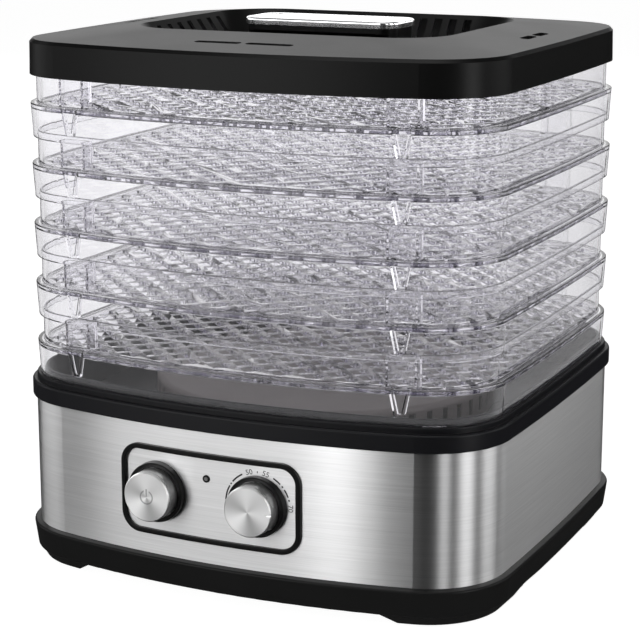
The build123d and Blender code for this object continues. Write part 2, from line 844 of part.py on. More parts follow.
def lattice_face(offset):
    """A floor panel with a diagonal lattice of square holes inside a solid border."""
    outer = plan_wire(offset)
    region = Face(plan_wire(offset - lattice_border))
    reach = offset - lattice_border
    half = lattice_hole / math.sqrt(2)
    step = lattice_pitch / math.sqrt(2)
    cells = []
    count = int(half_width / step) + 2
    for i in range(-count, count + 1):
        for j in range(-count, count + 1):
            if (i + j) % 2:
                continue
            x, y = i * step, j * step
            corners = [(x + half, y), (x, y + half), (x - half, y), (x, y - half)]
            inside = [within_plan(cx, cy, reach) for cx, cy in corners]
            if all(inside):
                cells.append(Wire.make_polygon([(*c, 0) for c in corners]))
            elif any(inside):
                cut = region & Face(Wire.make_polygon([(*c, 0) for c in corners]))
                for face in cut.faces():
                    if face.area > lattice_least:
                        cells.append(face.outer_wire())
    return Face(outer, cells)


def within_plan(x, y, offset):
    """True if a point lies inside the plan at that offset."""
    x, y = abs(x), -abs(y)
    arcs = plan_arcs()
    corner_x, corner_y = arcs[1][0], arcs[1][1]
    if x > corner_x and y < corner_y:
        return math.hypot(x - corner_x, y - corner_y) < corner_radius + offset
    for cx, cy, r, _, _ in (arcs[0], arcs[2]):
        if math.hypot(x - cx, y - cy) > r + offset:
            return False
    return x < half_width + offset - side_bow * (y / corner_y) ** 2


# ---- lid ----
def rounded_wire(half_x, half_y, radius, z):
    """A rounded rectangle drawn as eight edges, in the same order as the plan's."""
    cx, cy = half_x - radius, half_y - radius
    corners = [(cx, -cy), (cx, cy), (-cx, cy), (-cx, -cy)]
    edges = []
    before = (-cx, -cy)
    for turn, (x, y) in enumerate(corners):
        middle = -90 + 90 * turn
        start = on_circle(*before, radius, middle)
        end = on_circle(x, y, radius, middle)
        edges.append(Line((*start, z), (*end, z)))
        arc = [(*on_circle(x, y, radius, middle + a), z) for a in (0, 45, 90)]
        edges.append(ThreePointArc(*arc))
        before = (x, y)
    return Wire(edges)


def lid_crown(shrink, drop):
    """The solid under the lid's top face: up from the crease to the edge of the recess."""
    low = lid_crease + 0.2 - drop
    high = recess_edge - drop
    crease = plan_wire(-lid_draft - lid_bevel - shrink, low)
    edge = rounded_wire(recess_half_x, recess_half_y, recess_corner, high)
    return Solid.make_loft([crease, edge], ruled=True)


def recess(grow, z0, z1):
    """The tapered finger recess, as a solid, grown all round."""
    depth = recess_edge - (lid_bottom + recess_floor_height)

    def wire_at(z):
        lean = recess_slope * (recess_edge - z) / depth
        size_x, size_y = recess_half_x - lean + grow, recess_half_y - lean + grow
        return rounded_wire(size_x, size_y, recess_corner - lean * 0.6 + grow, z)

    return Solid.make_loft([wire_at(z0), wire_at(z1)], ruled=True)


def lid_shell():
    floor = lid_bottom + recess_floor_height
    outer = plan_taper(0, lid_bottom, -lid_draft, lid_crease - lid_bevel)
    outer += plan_taper(-lid_draft, lid_crease - lid_bevel, -lid_draft - lid_bevel, lid_crease + 0.2)
    outer += lid_crown(0, 0)
    inner = plan_prism(-lid_wall - lid_draft, lid_bottom, lid_crease - lid_wall)
    inner += lid_crown(lid_wall, lid_wall + 0.2)
    basin = recess(lid_wall, floor - lid_wall, recess_edge - 0.4)
    inner -= basin
    shell = outer - inner
    for stop in lid_stops():
        shell += stop
    shell -= recess(0, floor, recess_edge + 2)
    shell -= lid_vents()
    shell -= recess_louvres(floor)
    for side in (-1, 1):
        shell -= rod(screw_radius + running_gap, lid_bottom - 1, floor + 1, side * lid_screw_x, 0)
    return only(shell)


def lid_vents():
    slots = []
    front = extrude(SlotOverall(front_vent_length, vent_width), 12)
    side = Rot(0, 0, 90) * extrude(SlotOverall(side_vent_length, vent_width), 12)
    for across in (-1, 1):
        for along in (-1, 1):
            x = along * (front_vent_length + vent_gap) / 2
            y = across * (half_depth - front_vent_inset)
            slots.append(Pos(x, y, lid_crease - 4) * front)
            x = across * (half_width - side_vent_inset)
            y = along * (side_vent_length + vent_gap) / 2
            slots.append(Pos(x, y, lid_crease - 4) * side)
    return slots


def lid_stops():
    """Ribs inside the lid that stand on the top tray's rim."""
    tip = lid_bottom - lid_seat_gap + rim_nest + stack_gap
    half = lid_stop_width / 2
    stops = []
    for x in (-leg_x, leg_x):
        for y0, y1 in ((-half_depth, 0), (0, half_depth)):
            stop = block(x - half, x + half, y0, y1, tip, lid_crease)
            stop &= plan_prism(-lid_wall, tip - 1, lid_crease - lid_wall + 0.5)
            stop -= plan_prism(rim_inner, tip - 2, lid_crease + 1)
            stops.append(stop)
    return stops


def recess_louvres(floor):
    """Slots down the leaning walls of the recess, where the moist air leaves."""
    cutters = []
    low, high = floor + 1.5, recess_edge - 2.5
    for side in (-1, 1):
        for i in range(louvre_count_x):
            x = (i - (louvre_count_x - 1) / 2) * louvre_pitch_x
            y0, y1 = sorted((side * (recess_half_y - recess_slope - 4), side * (recess_half_y + 6)))
            cutters.append(block(x - louvre_width / 2, x + louvre_width / 2, y0, y1, low, high))
        for i in range(louvre_count_y):
            y = (i - (louvre_count_y - 1) / 2) * louvre_pitch_y
            x0, x1 = sorted((side * (recess_half_x - recess_slope - 4), side * (recess_half_x + 6)))
            cutters.append(block(x0, x1, y - louvre_width / 2, y + louvre_width / 2, low, high))
    return cutters


def handle_body():
    floor = lid_bottom + recess_floor_height
    cap_bottom = lid_crease + handle_cap_top - handle_cap_thickness
    top_half, waist_half = handle_depth / 2 - handle_inset, handle_waist / 2
    right = [
        (waist_half + handle_flare, floor),
        (waist_half, floor + 5),
        (waist_half, cap_bottom - handle_shoulder),
        (top_half, cap_bottom - 3),
        (top_half, cap_bottom),
    ]
    points = right + [(-y, z) for y, z in reversed(right)]
    length = handle_length - 2 * handle_inset
    plane = Plane(origin=(-length / 2, 0, 0), x_dir=(0, 1, 0), z_dir=(1, 0, 0))
    body = extrude(plane * make_face(Polyline(*points, close=True)), length)
    body &= rounded_prism(length, 2 * top_half, handle_corner - handle_inset, floor, cap_bottom)
    for side in (-1, 1):
        top = floor + lid_screw_length + 1
        body -= rod(screw_radius + running_gap, floor - 1, top, side * lid_screw_x, 0)
    return only(body)


def handle_cap():
    bottom = lid_crease + handle_cap_top - handle_cap_thickness
    top = lid_crease + handle_cap_top
    cap = rounded_prism(handle_length, handle_depth, handle_corner, bottom, top)
    cap = fillet(cap.faces().sort_by(Axis.Z)[-1].edges(), handle_round)
    dish = rounded_prism(
        handle_length - 2 * handle_dish_margin,
        handle_depth - 2 * handle_dish_margin,
        handle_corner - handle_dish_margin / 2,
        top - handle_dish,
        top + 1,
    )
    cap -= dish
    rim = [e for e in cap.edges() if abs(e.center().Z - top) < 1e-3]
    return only(fillet(rim, 0.3))


def lid_screws():
    floor = lid_bottom + recess_floor_height
    screws = []
    for side in (-1, 1):
        x, seat = side * lid_screw_x, floor - lid_wall
        screw = rod(screw_radius, seat, floor + lid_screw_length, x, 0)
        screw += rod(screw_head_radius, seat - 2.0, seat, x, 0)
        screws.append(screw.solid())
    return Compound(children=screws)


# ---- the whole object ----
def build():
    upper_plate = motor_top
    lower_plate = motor_top - motor_stack - bearing_plate
    nodes = {
        "base_pan": base_pan(),
        "rubber_feet": rubber_feet(),
        "base_screws": base_screws(),
        "steel_band": steel_band(),
        "deck_ring": deck(),
        "air_diffuser": diffuser(),
        "fan_impeller": fan_impeller(),
        "motor_shaft": motor_shaft(),
        "motor_core": motor_core(),
        "motor_winding": motor_winding(),
        "motor_bearing_upper": motor_bearing(upper_plate),
        "motor_bearing_lower": motor_bearing(lower_plate),
        "motor_bracket": motor_bracket(),
        "heater_coil": heater_coil(),
        "heater_frame": heater_frame(),
        "thermal_cutout": thermal_cutout(),
        "terminal_block": terminal_block(),
        "panel_bezel": panel_bezel_frame(),
        "panel_plate": panel_plate(),
        "power_button_collar": knob_collar(knob_left_x),
        "power_button_cap": knob_cap(knob_left_x),
        "power_button_stem": stem(knob_left_x, 2),
        "push_switch": push_switch(),
        "thermostat_collar": knob_collar(knob_right_x),
        "thermostat_knob": dial_cap(knob_right_x),
        "thermostat_shaft": stem(knob_right_x, switch_bore - 1),
        "thermostat": thermostat(),
        "pilot_lamp_lens": lamp_lens(),
        "pilot_lamp_bezel": lamp_bezel(),
        "cord_gland": cord_gland(),
        "lid_shell": lid_shell(),
        "handle_body": handle_body(),
        "handle_cap": handle_cap(),
        "lid_screws": lid_screws(),
    }
    panel = lattice_face(rim_inner - panel_gap)
    for number in range(tray_count):
        z0 = stack_base + (tray_count - 1 - number) * tray_pitch
        floor_z = z0 + skirt_height - floor_thickness
        nodes[f"tray_{number + 1}_frame"] = tray_frame(z0)
        nodes[f"tray_{number + 1}_floor"] = Pos(0, 0, floor_z) * Solid.extrude(
            panel, Vector(0, 0, floor_thickness)
        )
    return nodes


os.makedirs("parts", exist_ok=True)
for name, shape in build().items():
    export_step(shape, f"parts/{name}.step")
    print(name, len(shape.solids()))
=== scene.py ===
import math

import bpy
from mathutils import Matrix, Vector


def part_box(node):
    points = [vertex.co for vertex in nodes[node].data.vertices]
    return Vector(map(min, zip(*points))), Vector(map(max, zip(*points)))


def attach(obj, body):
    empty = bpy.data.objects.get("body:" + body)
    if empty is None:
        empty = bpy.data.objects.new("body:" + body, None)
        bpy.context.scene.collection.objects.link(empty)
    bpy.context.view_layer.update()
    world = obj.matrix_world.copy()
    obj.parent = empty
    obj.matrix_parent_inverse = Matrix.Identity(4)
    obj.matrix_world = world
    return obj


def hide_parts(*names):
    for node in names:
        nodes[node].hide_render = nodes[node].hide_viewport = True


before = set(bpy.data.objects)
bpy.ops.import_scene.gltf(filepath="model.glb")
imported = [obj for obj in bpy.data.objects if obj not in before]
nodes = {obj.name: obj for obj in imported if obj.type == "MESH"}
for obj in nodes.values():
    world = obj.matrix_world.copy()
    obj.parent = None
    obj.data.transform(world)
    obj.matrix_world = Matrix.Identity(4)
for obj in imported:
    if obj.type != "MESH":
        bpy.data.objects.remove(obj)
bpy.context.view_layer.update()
mm = 0.001
print("frame loaded:", len(nodes), "nodes")


# shader building: a socket that takes Python arithmetic, and one method that adds any node
class Value:
    def __init__(self, tree, socket):
        self.tree = tree
        self.socket = socket

    def maths(self, operation, first, second):
        node = self.tree.nodes.new("ShaderNodeMath")
        node.operation = operation
        for slot, item in zip(node.inputs, (first, second)):
            if isinstance(item, Value):
                self.tree.links.new(item.socket, slot)
            else:
                slot.default_value = item
        return Value(self.tree, node.outputs[0])

    def __add__(self, other):
        return self.maths("ADD", self, other)

    def __radd__(self, other):
        return self.maths("ADD", other, self)

    def __sub__(self, other):
        return self.maths("SUBTRACT", self, other)

    def __rsub__(self, other):
        return self.maths("SUBTRACT", other, self)

    def __mul__(self, other):
        return self.maths("MULTIPLY", self, other)

    def __rmul__(self, other):
        return self.maths("MULTIPLY", other, self)

    def __pow__(self, other):
        return self.maths("POWER", self, other)

    def __lt__(self, other):
        return self.maths("LESS_THAN", self, other)

    def __gt__(self, other):
        return self.maths("GREATER_THAN", self, other)


class Finish:
    def __init__(self, name, **shader):
        self.material = bpy.data.materials.new(name)
        self.material.use_nodes = True
        self.tree = self.material.node_tree
        self.tree.nodes.clear()
        self.output = self.tree.nodes.new("ShaderNodeOutputMaterial")
        self.shader = self.tree.nodes.new("ShaderNodeBsdfPrincipled")
        self.tree.links.new(self.shader.outputs[0], self.output.inputs["Surface"])
        for socket, setting in shader.items():
            self.give(socket.replace("_", " "), setting)

    def give(self, socket, setting):
        slot = self.shader.inputs[socket]
        if isinstance(setting, Value):
            self.tree.links.new(setting.socket, slot)
        else:
            slot.default_value = setting

    def add(self, kind, settings, sockets, out=0):
        node = self.tree.nodes.new("ShaderNode" + kind)
        for key, setting in settings.items():
            setattr(node, key, setting)
        for key, item in sockets.items():
            slot = node.inputs[key]
            if isinstance(item, Value):
                self.tree.links.new(item.socket, slot)
            else:
                slot.default_value = item
        return Value(self.tree, node.outputs[out])

    def place(self, centre=(0, 0, 0), scale=(1, 1, 1)):
        point = self.add("TexCoord", {}, {}, "Object")
        moved = self.add("VectorMath", {"operation": "SUBTRACT"}, {0: point, 1: centre})
        return self.add("Mapping", {}, {"Vector": moved, "Scale": scale})

    def maths(self, kind, *items):
        return self.add("Math", {"operation": kind}, dict(enumerate(items)))

    def parts(self, vector):
        split = self.tree.nodes.new("ShaderNodeSeparateXYZ")
        self.tree.links.new(vector.socket, split.inputs[0])
        return [Value(self.tree, out) for out in split.outputs]

    def noise(self, vector, scale, detail=2.0, rough=0.5):
        return self.add(
            "TexNoise", {}, {"Vector": vector, "Scale": scale, "Detail": detail, "Roughness": rough}
        )

    def blendColour(self, mask, low, high):
        mix = self.tree.nodes.new("ShaderNodeMix")
        mix.data_type = "RGBA"
        for slot, item in ((mix.inputs[0], mask), (mix.inputs[6], low), (mix.inputs[7], high)):
            if isinstance(item, Value):
                self.tree.links.new(item.socket, slot)
            else:
                slot.default_value = item
        return Value(self.tree, mix.outputs[2])

    def bump(self, height, depth, strength=1.0):
        return self.add("Bump", {}, {"Height": height, "Distance": depth, "Strength": strength})


def grey(level):
    return (level, level, level, 1.0)


def shaded(colour, factor):
    return tuple(min(1.0, part * factor) for part in colour) + (1.0,)


# satin moulded plastic: a fine spark-eroded grain under a slow change of shade
satin = {
    "grain": 2600.0,
    "grainDepth": 0.018 * mm,
    "grainStrength": 0.55,
    "cloud": 22.0,
    "darker": 0.85,
    "lighter": 1.2,
    "cloudRough": 0.07,
    "grainRough": 0.05,
}


def satinPlastic(name, shade=0.0036, rough=0.36):
    made = Finish(name, Specular_IOR_Level=0.38)
    grain = made.noise(made.place(), satin["grain"], 3.0, 0.6)
    cloud = made.noise(made.place(), satin["cloud"], 3.0)
    low, high = grey(shade * satin["darker"]), grey(shade * satin["lighter"])
    made.give("Base Color", made.blendColour(cloud, low, high))
    uneven = satin["cloudRough"] * (cloud - 0.5) + satin["grainRough"] * (grain - 0.5)
    made.give("Roughness", rough + uneven)
    made.give("Normal", made.bump(grain, satin["grainDepth"], satin["grainStrength"]))
    return made.material


# steel brushed round the body: long fine lines over broader ones
brushing = {
    "steel": (0.62, 0.62, 0.6231),
    "darker": 0.9,
    "lighter": 1.1,
    "along": 26.0,
    "fineLines": 3400.0,
    "coarseLines": 900.0,
    "fineShare": 0.55,
    "contrast": (0.32, 0.68),
    "rough": 0.36,
    "roughSpread": 0.06,
    "lineDepth": 0.03 * mm,
    "lineStrength": 0.5,
}


def brushedSteel(name):
    made = Finish(name, Metallic=1.0, Anisotropic=0.86, Anisotropic_Rotation=0.25)
    along, share = brushing["along"], brushing["fineShare"]
    fine = made.noise(made.place(scale=(along, along, brushing["fineLines"])), 1.0, 2.0, 0.6)
    broad = (along / 2, along / 2, brushing["coarseLines"])
    coarse = made.noise(made.place(scale=broad), 1.0, 3.0, 0.65)
    streak = share * fine + (1 - share) * coarse
    low, high = brushing["contrast"]
    mask = made.add("MapRange", {"clamp": True}, {0: streak, 1: low, 2: high})
    dark = shaded(brushing["steel"], brushing["darker"])
    light = shaded(brushing["steel"], brushing["lighter"])
    made.give("Base Color", made.blendColour(mask, dark, light))
    made.give("Roughness", brushing["rough"] + brushing["roughSpread"] * (coarse - 0.5))
    made.give("Normal", made.bump(streak, brushing["lineDepth"], brushing["lineStrength"]))
    return made.material


# clear moulding: faintly violet in its depth, with the slow ripple of a polished mould
clearMoulding = {
    "depthColour": (0.45, 0.42, 0.56, 1.0),
    "ripple": 42.0,
    "rippleFlat": (1, 1, 0.45),
    "rippleDepth": 0.6 * mm,
    "haze": 160.0,
    "rough": 0.012,
    "roughSpread": 0.02,
}


def clearPlastic(name, waviness, density):
    made = Finish(name, Transmission_Weight=1.0, IOR=1.52, Base_Color=(0.975, 0.972, 0.985, 1.0))
    body = made.add("VolumeAbsorption", {}, {"Color": clearMoulding["depthColour"], "Density": density})
    made.tree.links.new(body.socket, made.output.inputs["Volume"])
    ripple = made.noise(made.place(scale=clearMoulding["rippleFlat"]), clearMoulding["ripple"], 1.5)
    haze = made.noise(made.place(), clearMoulding["haze"], 2.0)
    made.give("Roughness", clearMoulding["rough"] + clearMoulding["roughSpread"] * haze)
    made.give("Normal", made.bump(ripple, clearMoulding["rippleDepth"], waviness))
    return made.material


# spun faces: turned grooves, fans of highlight painted into the base colour by angle round the centre, and
# a power mark on one
spun = {
    "groovePitch": 0.42 * mm,
    "grooveDepth": 0.03 * mm,
    "grooveStrength": 0.5,
    "grooveShare": 0.6,
    "strayShare": 0.2,
    "stray": 900.0,
    "faceBack": -4.0 * mm,
    # painted highlight fans: count, turn and share of each, and the shades that the painted highlight runs
    # between
    "narrowPaintedRays": (3.0, 0.9, 0.28),
    "broadPaintedRays": (2.0, -1.1, 0.22),
    "paintedRayShades": (0.42, 1.0),
    "sideShades": (0.62, 0.78),
    "rough": 0.36,
    "roughSpread": 0.08,
}
powerMark = {
    "ringRadius": 3.6 * mm,
    "halfLine": 0.42 * mm,
    "halfGap": 1.5 * mm,
    "barFoot": 0.4 * mm,
    "barTop": 4.6 * mm,
    "shade": 0.2,
    "cover": 0.62,
    "rougher": 0.2,
}


# one set of painted highlight fans: a cosine of the angle round the face's centre
def paintedRays(made, angle, kind):
    count, turn, share = spun[kind]
    return share * made.maths("COSINE", angle * count + turn)


def markOn(made, x, z, radius):
    line = powerMark["halfLine"]
    ring = made.maths("ABSOLUTE", radius - powerMark["ringRadius"]) < line
    gap = (made.maths("ABSOLUTE", x) < powerMark["halfGap"]) * (z > 0.0)
    bar = (made.maths("ABSOLUTE", x) < line) * (z > powerMark["barFoot"]) * (z < powerMark["barTop"])
    return made.maths("MAXIMUM", ring * (1.0 - gap), bar)


def spunMetal(name, centre, icon=False):
    made = Finish(name, Metallic=1.0)
    x, y, z = made.parts(made.place(centre))
    radius = (x * x + z * z) ** 0.5
    angle = made.maths("ARCTAN2", z, x)
    grooves = made.maths("SINE", radius * (2 * math.pi / spun["groovePitch"])) * 0.5 + 0.5
    stray = made.noise(made.place(centre), spun["stray"], 3.0)
    # painted highlight: bright and dark fans by angle round the centre, blended into the face's colour
    glow = 0.5 + paintedRays(made, angle, "narrowPaintedRays") + paintedRays(made, angle, "broadPaintedRays")
    face = y < spun["faceBack"]
    lit = made.blendColour(glow, *map(grey, spun["paintedRayShades"]))
    side = made.blendColour(stray, *map(grey, spun["sideShades"]))
    colour = made.blendColour(face, side, lit)
    level = spun["rough"] + spun["roughSpread"] * stray
    relief = grooves * spun["grooveShare"] + stray * spun["strayShare"]
    if icon:
        mark = markOn(made, x, z, radius) * face
        colour = made.blendColour(mark * powerMark["cover"], colour, grey(powerMark["shade"]))
        level = level + mark * powerMark["rougher"]
        relief = relief - mark
    made.give("Base Color", colour)
    made.give("Roughness", level)
    made.give("Normal", made.bump(relief, spun["grooveDepth"], spun["grooveStrength"]))
    return made.material


# plain metals and plastics: a grain that is felt more than seen, and a little wear in the colour
metalGrain = {"cloud": 90.0, "roughSpread": 0.1, "depth": 0.02 * mm, "strength": 0.4}
plasticGrain = {"cloud": 60.0, "roughSpread": 0.08, "strength": 0.5, "darker": 0.88, "lighter": 1.1}


def plainMetal(name, colour, rough, streak=(400.0, 400.0, 60.0), wear=0.12):
    made = Finish(name, Metallic=1.0)
    grain = made.noise(made.place(scale=streak), 1.0, 3.0, 0.6)
    cloud = made.noise(made.place(), metalGrain["cloud"], 3.0)
    made.give("Base Color", made.blendColour(cloud, shaded(colour, 1 - wear), shaded(colour, 1 + wear)))
    made.give("Roughness", rough + metalGrain["roughSpread"] * (grain - 0.5))
    made.give("Normal", made.bump(grain, metalGrain["depth"], metalGrain["strength"]))
    return made.material


def plainPlastic(name, colour, rough, scale=1400.0, depth=0.02 * mm):
    made = Finish(name)
    grain = made.noise(made.place(), scale, 3.0, 0.6)
    cloud = made.noise(made.place(), plasticGrain["cloud"], 3.0)
    low, high = shaded(colour, plasticGrain["darker"]), shaded(colour, plasticGrain["lighter"])
    made.give("Base Color", made.blendColour(cloud, low, high))
    made.give("Roughness", rough + plasticGrain["roughSpread"] * (grain - 0.5))
    made.give("Normal", made.bump(grain, depth, plasticGrain["strength"]))
    return made.material


layers = {"stray": 300.0, "bandShare": 0.75, "roughSpread": 0.1, "depthShare": 0.25, "strength": 0.6}


def layered(name, dark, light, pitch, metal, rough, axis=2):
    # stacked sheets or turns of wire: a band pattern along one axis
    made = Finish(name, Metallic=metal)
    along = made.parts(made.place())[axis]
    band = made.maths("SINE", along * (2 * math.pi / pitch)) * 0.5 + 0.5
    stray = made.noise(made.place(), layers["stray"], 3.0)
    mask = band * layers["bandShare"] + stray * (1 - layers["bandShare"])
    made.give("Base Color", made.blendColour(mask, shaded(dark, 1.0), shaded(light, 1.0)))
    made.give("Roughness", rough + layers["roughSpread"] * stray)
    made.give("Normal", made.bump(mask, pitch * layers["depthShare"], layers["strength"]))
    return made.material


def boxMiddle(name):
    low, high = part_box(name)
    return (low + high) / 2


capDepth = 5.2 * mm  # from a cap's face back to the origin of its finish


def capCentre(name):
    middle = boxMiddle(name)
    return (middle.x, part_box(name)[0].y + capDepth, middle.z)


blackSatin = satinPlastic("satin black plastic")
# a lighter copy of the satin black: painted light that brightens the skirt
skirtBlackPaintedLighter = satinPlastic("skirt black plastic painted lighter", shade=0.009)
steelBrushed = brushedSteel("brushed steel")
diffuserPaint = plainPlastic(
    "diffuser enamel", (0.42, 0.375, 0.385), rough=0.5, scale=1800.0, depth=0.01 * mm
)
clearTray = clearPlastic("clear tray plastic", waviness=0.1, density=15.0)
clearLattice = clearPlastic("clear lattice plastic", waviness=0.02, density=24.0)
finishes = {
    "base_pan": skirtBlackPaintedLighter,
    "rubber_feet": plainPlastic(
        "foot rubber", (0.03, 0.03, 0.031), rough=0.75, scale=900.0, depth=0.05 * mm
    ),
    "base_screws": plainMetal("zinc plate", (0.58, 0.57, 0.54), rough=0.32),
    "steel_band": steelBrushed,
    "deck_ring": plainPlastic("deck black", (0.006, 0.006, 0.0085), rough=0.4),
    "air_diffuser": diffuserPaint,
    "fan_impeller": plainPlastic("fan plastic", (0.02, 0.02, 0.022), rough=0.45),
    "motor_shaft": plainMetal("ground steel", (0.6, 0.6, 0.61), rough=0.22),
    "motor_core": layered(
        "motor laminations", (0.09, 0.1, 0.11), (0.24, 0.25, 0.27), pitch=0.5 * mm, metal=0.6, rough=0.4
    ),
    "motor_winding": layered(
        "copper wire", (0.32, 0.11, 0.04), (0.75, 0.34, 0.15), pitch=0.4 * mm, metal=0.9, rough=0.32
    ),
    "heater_coil": layered(
        "heating wire", (0.18, 0.16, 0.15), (0.5, 0.47, 0.44), pitch=1.2 * mm, metal=0.9, rough=0.45, axis=0
    ),
    "heater_frame": plainPlastic("mica board", (0.5, 0.44, 0.33), rough=0.5, scale=700.0, depth=0.04 * mm),
    "panel_bezel": blackSatin,
    "panel_plate": steelBrushed,
    "power_button_cap": spunMetal("spun button face", capCentre("power_button_cap"), icon=True),
    "thermostat_knob": spunMetal("spun knob face", capCentre("thermostat_knob")),
    "pilot_lamp_lens": plainPlastic("lamp lens", (0.2, 0.2, 0.2), rough=0.2),
    "cord_gland": plainPlastic(
        "gland rubber", (0.02, 0.02, 0.021), rough=0.62, scale=1100.0, depth=0.04 * mm
    ),
    "lid_shell": blackSatin,
    "handle_body": blackSatin,
    "handle_cap": plainMetal(
        "handle plating", (0.93, 0.93, 0.94), rough=0.16, streak=(60.0, 60.0, 60.0), wear=0.02
    ),
}
whitePlastic = plainPlastic("white moulding", (0.72, 0.71, 0.67), rough=0.45)
for name in ("thermal_cutout", "terminal_block", "power_button_stem"):
    finishes[name] = whitePlastic
for name in ("power_button_collar", "thermostat_collar", "pilot_lamp_bezel", "push_switch"):
    finishes[name] = blackSatin
platedPieces = (
    "motor_bearing_upper", "motor_bearing_lower", "motor_bracket",
    "lid_screws", "thermostat", "thermostat_shaft",
)
for name in platedPieces:
    finishes[name] = finishes["base_screws"]
trayNumbers = range(1, 6)
for number in trayNumbers:
    finishes[f"tray_{number}_frame"] = clearTray
    finishes[f"tray_{number}_floor"] = clearLattice
for name, node in nodes.items():
    node.data.materials.clear()
    node.data.materials.append(finishes[name])
print("finishes:", len(set(finishes.values())))


# selecting, settling and naming a piece
def deselect():
    if bpy.context.object and bpy.context.object.mode != "OBJECT":
        bpy.ops.object.mode_set(mode="OBJECT")
    bpy.ops.object.select_all(action="DESELECT")


def pick(piece):
    deselect()
    piece.select_set(True)
    bpy.context.view_layer.objects.active = piece


def settle(piece):
    pick(piece)
    bpy.ops.object.transform_apply(location=True, rotation=True, scale=True)
    return piece


def applyAll(piece):
    pick(piece)
    for modifier in list(piece.modifiers):
        bpy.ops.object.modifier_apply(modifier=modifier.name)


def finishPiece(piece, name, body, material):
    settle(piece)
    piece.name = name
    piece.data.name = name
    piece.data.materials.clear()
    piece.data.materials.append(material)
    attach(piece, body)
    return piece


# tray floors: the moulded lattice with its ribs rounded over
trayFloor = {
    "edgeRound": 0.45 * mm,
    "segments": 2,
    "sharp": math.radians(30),
    "merge": 0.001 * mm,
    "flat": math.radians(1),
}


def roundedLattice(name):
    pick(nodes[name])
    bpy.ops.object.duplicate()
    piece = bpy.context.object
    bpy.ops.object.mode_set(mode="EDIT")
    bpy.ops.mesh.select_all(action="SELECT")
    bpy.ops.mesh.remove_doubles(threshold=trayFloor["merge"])
    bpy.ops.mesh.dissolve_limited(angle_limit=trayFloor["flat"])
    bpy.ops.object.mode_set(mode="OBJECT")
    bevel = piece.modifiers.new("ribs", "BEVEL")
    bevel.width = trayFloor["edgeRound"]
    bevel.segments = trayFloor["segments"]
    bevel.limit_method = "ANGLE"
    bevel.angle_limit = trayFloor["sharp"]
    applyAll(piece)
    bpy.ops.object.shade_smooth_by_angle(angle=trayFloor["sharp"])
    return piece


for number in trayNumbers:
    name = f"tray_{number}_floor"
    lattice = roundedLattice(name)
    finishPiece(lattice, f"tray_{number}_lattice", f"tray_{number}", clearLattice)
    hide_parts(name)
    # daylight falls through clear plastic on the deck and the diffuser
    for clear in (lattice, nodes[f"tray_{number}_frame"]):
        clear.visible_shadow = False
        clear.visible_diffuse = False
print("tray lattices rounded")


# panel print: the temperature scale round the knob, in degrees from its right-hand side
panelPrint = {
    "radius": 18.5 * mm,
    "width": 0.85 * mm,
    "thick": 0.05 * mm,
    "letter": 4.2 * mm,
    "letterCurve": 3,
    "merge": 0.01 * mm,
    "clear": 1 * mm,
    "step": 3,
    "dashes": [(176, 150), (147, 144), (141, 118), (61, 46), (42, 39), (35, 21), (17, 14)],
    "numbers": [("50", 105), ("55", 75), ("70", 2)],
    "dot": (90.8, 89.2),
    "dotWidth": 1.1 * mm,
}
inkBlack = plainPlastic("printed ink", (0.015, 0.015, 0.016), rough=0.5)


def onPanel(angle, radius):
    centre = boxMiddle("thermostat_knob")
    turn = math.radians(angle)
    return Vector((centre.x + radius * math.cos(turn), 0, centre.z + radius * math.sin(turn)))


def layOnPanel(piece, name):
    # laid on the bowed plate, then given the thickness of ink
    settle(piece)
    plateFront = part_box("panel_plate")[0].y - panelPrint["clear"]
    for point in piece.data.vertices:
        point.co.y = plateFront
    lay = piece.modifiers.new("lay", "SHRINKWRAP")
    lay.target = nodes["panel_plate"]
    lay.wrap_method = "PROJECT"
    lay.use_project_y = True
    lay.use_negative_direction = False
    lay.use_positive_direction = True
    skin = piece.modifiers.new("skin", "SOLIDIFY")
    skin.thickness = panelPrint["thick"]
    skin.offset = 1.0
    applyAll(piece)
    return finishPiece(piece, name, "base", inkBlack)


def printArc(name, start, end, width):
    # a short plane, cut along its length and bent round the knob
    deselect()
    bpy.ops.mesh.primitive_grid_add(
        x_subdivisions=max(1, round(abs(start - end) / panelPrint["step"])),
        y_subdivisions=1,
        size=2,
        rotation=(math.pi / 2, 0, 0),
    )
    arc = settle(bpy.context.object)
    for point in arc.data.vertices:
        angle = start + (end - start) * (point.co.x + 1) / 2
        point.co = onPanel(angle, panelPrint["radius"] + point.co.z * width / 2)
    return layOnPanel(arc, name)


def printNumber(text, angle):
    deselect()
    bpy.ops.object.text_add(rotation=(math.pi / 2, 0, 0))
    letters = bpy.context.object
    letters.data.body = text
    letters.data.size = panelPrint["letter"]
    letters.data.align_x = "CENTER"
    letters.data.align_y = "CENTER"
    letters.data.resolution_u = panelPrint["letterCurve"]
    bpy.ops.object.convert(target="MESH")
    letters = settle(bpy.context.object)
    spin = Matrix.Rotation(math.radians(90 - angle), 4, "Y")
    letters.data.transform(Matrix.Translation(onPanel(angle, panelPrint["radius"])) @ spin)
    bpy.ops.object.mode_set(mode="EDIT")
    bpy.ops.mesh.select_all(action="SELECT")
    bpy.ops.mesh.remove_doubles(threshold=panelPrint["merge"])
    bpy.ops.object.mode_set(mode="OBJECT")
    return layOnPanel(letters, f"scale_{text}")


for index, (start, end) in enumerate(panelPrint["dashes"], 1):
    printArc(f"scale_dash_{index}", start, end, panelPrint["width"])
for text, angle in panelPrint["numbers"]:
    printNumber(text, angle)
printArc("scale_dot", *panelPrint["dot"], panelPrint["dotWidth"])
print("panel print laid")


# a pale round floor with a low wall, under a white sky that the object barely mirrors
stageSettings = {
    "radius": 8.0,
    "wall": 0.8,
    "sides": 96,
    "paint": 0.35,
    "paintDarker": 0.97,
    "paintCloud": 0.6,
    "glow": 0.97,
    "camera": 1.0,
    "mirror": 0.02,
}


